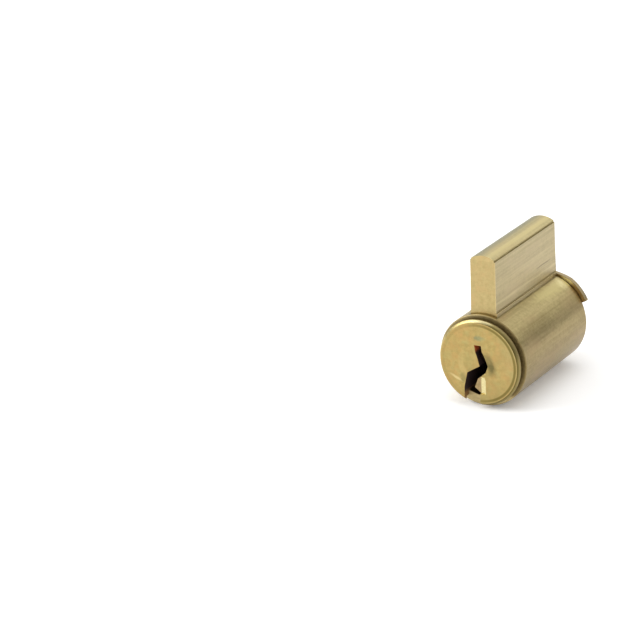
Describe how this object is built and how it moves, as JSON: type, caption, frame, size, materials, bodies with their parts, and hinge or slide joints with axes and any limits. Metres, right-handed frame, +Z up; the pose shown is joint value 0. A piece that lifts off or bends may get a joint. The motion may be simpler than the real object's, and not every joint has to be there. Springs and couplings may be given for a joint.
{
  "type": "lock cylinder",
  "caption": "Brass pin-tumbler lock cylinder with a round shell, upright pin housing, turning plug with a zigzag keyway, and a sector cam at its rear.",
  "frame": {"origin": "on the plug's axis, in the plane of the shell's front shoulder", "axes": "+Y along the plug's axis from the key side to the cam, +Z up the pin housing, +X to the right as seen from the key side"},
  "size_m": [0.015, 0.028, 0.0245],
  "materials": {
    "shell_brass": "satin, drawn lengthwise",
    "cover_brass": "satin",
    "plug_brass": "fine satin, polished rim",
    "cam_brass": "satin",
    "washer_steel": "satin",
    "clip_steel": "blued",
    "key_pin_brass": "turned",
    "driver_pin_steel": "turned",
    "spring_steel": "drawn wire"
  },
  "bodies": {
    "shell_body": {"shell": "shell_brass", "spring_cover": "cover_brass"},
    "plug_body": {"plug": "plug_brass", "cam": "cam_brass", "washer": "washer_steel", "retaining_clip": "clip_steel"},
    "key_pin_body_1": {"key_pin_1": "key_pin_brass"},
    "driver_pin_body_1": {"driver_pin_1": "driver_pin_steel", "spring_1": "spring_steel"},
    "key_pin_body_2": {"key_pin_2": "key_pin_brass"},
    "driver_pin_body_2": {"driver_pin_2": "driver_pin_steel", "spring_2": "spring_steel"},
    "key_pin_body_3": {"key_pin_3": "key_pin_brass"},
    "driver_pin_body_3": {"driver_pin_3": "driver_pin_steel", "spring_3": "spring_steel"},
    "key_pin_body_4": {"key_pin_4": "key_pin_brass"},
    "driver_pin_body_4": {"driver_pin_4": "driver_pin_steel", "spring_4": "spring_steel"},
    "key_pin_body_5": {"key_pin_5": "key_pin_brass"},
    "driver_pin_body_5": {"driver_pin_5": "driver_pin_steel", "spring_5": "spring_steel"}
  },
  "joints": [
    {"name": "plug_turn", "type": "hinge", "parent": "shell_body", "child": "plug_body", "pos_m": [0, 0, 0], "axis": [0, 1, 0], "range_deg": [-90, 90]},
    {"name": "key_pin_slide_1", "type": "slide", "parent": "plug_body", "child": "key_pin_body_1", "axis": [0, 0, 1], "range_m": [-0.00315, 0]},
    {"name": "key_pin_slide_2", "type": "slide", "parent": "plug_body", "child": "key_pin_body_2", "axis": [0, 0, 1], "range_m": [-0.00235, 0]},
    {"name": "key_pin_slide_3", "type": "slide", "parent": "plug_body", "child": "key_pin_body_3", "axis": [0, 0, 1], "range_m": [-0.00185, 0]},
    {"name": "key_pin_slide_4", "type": "slide", "parent": "plug_body", "child": "key_pin_body_4", "axis": [0, 0, 1], "range_m": [-0.00275, 0]},
    {"name": "key_pin_slide_5", "type": "slide", "parent": "plug_body", "child": "key_pin_body_5", "axis": [0, 0, 1], "range_m": [-0.00345, 0]},
    {"name": "driver_pin_slide_1", "type": "slide", "parent": "shell_body", "child": "driver_pin_body_1", "axis": [0, 0, 1], "range_m": [0, 0.0015], "stiffness_N_per_m": 80, "springref_m": -0.004, "deforming": ["spring_1"]},
    {"name": "driver_pin_slide_2", "type": "slide", "parent": "shell_body", "child": "driver_pin_body_2", "axis": [0, 0, 1], "range_m": [0, 0.0015], "stiffness_N_per_m": 80, "springref_m": -0.004, "deforming": ["spring_2"]},
    {"name": "driver_pin_slide_3", "type": "slide", "parent": "shell_body", "child": "driver_pin_body_3", "axis": [0, 0, 1], "range_m": [0, 0.0015], "stiffness_N_per_m": 80, "springref_m": -0.004, "deforming": ["spring_3"]},
    {"name": "driver_pin_slide_4", "type": "slide", "parent": "shell_body", "child": "driver_pin_body_4", "axis": [0, 0, 1], "range_m": [0, 0.0015], "stiffness_N_per_m": 80, "springref_m": -0.004, "deforming": ["spring_4"]},
    {"name": "driver_pin_slide_5", "type": "slide", "parent": "shell_body", "child": "driver_pin_body_5", "axis": [0, 0, 1], "range_m": [0, 0.0015], "stiffness_N_per_m": 80, "springref_m": -0.004, "deforming": ["spring_5"]}
  ]
}
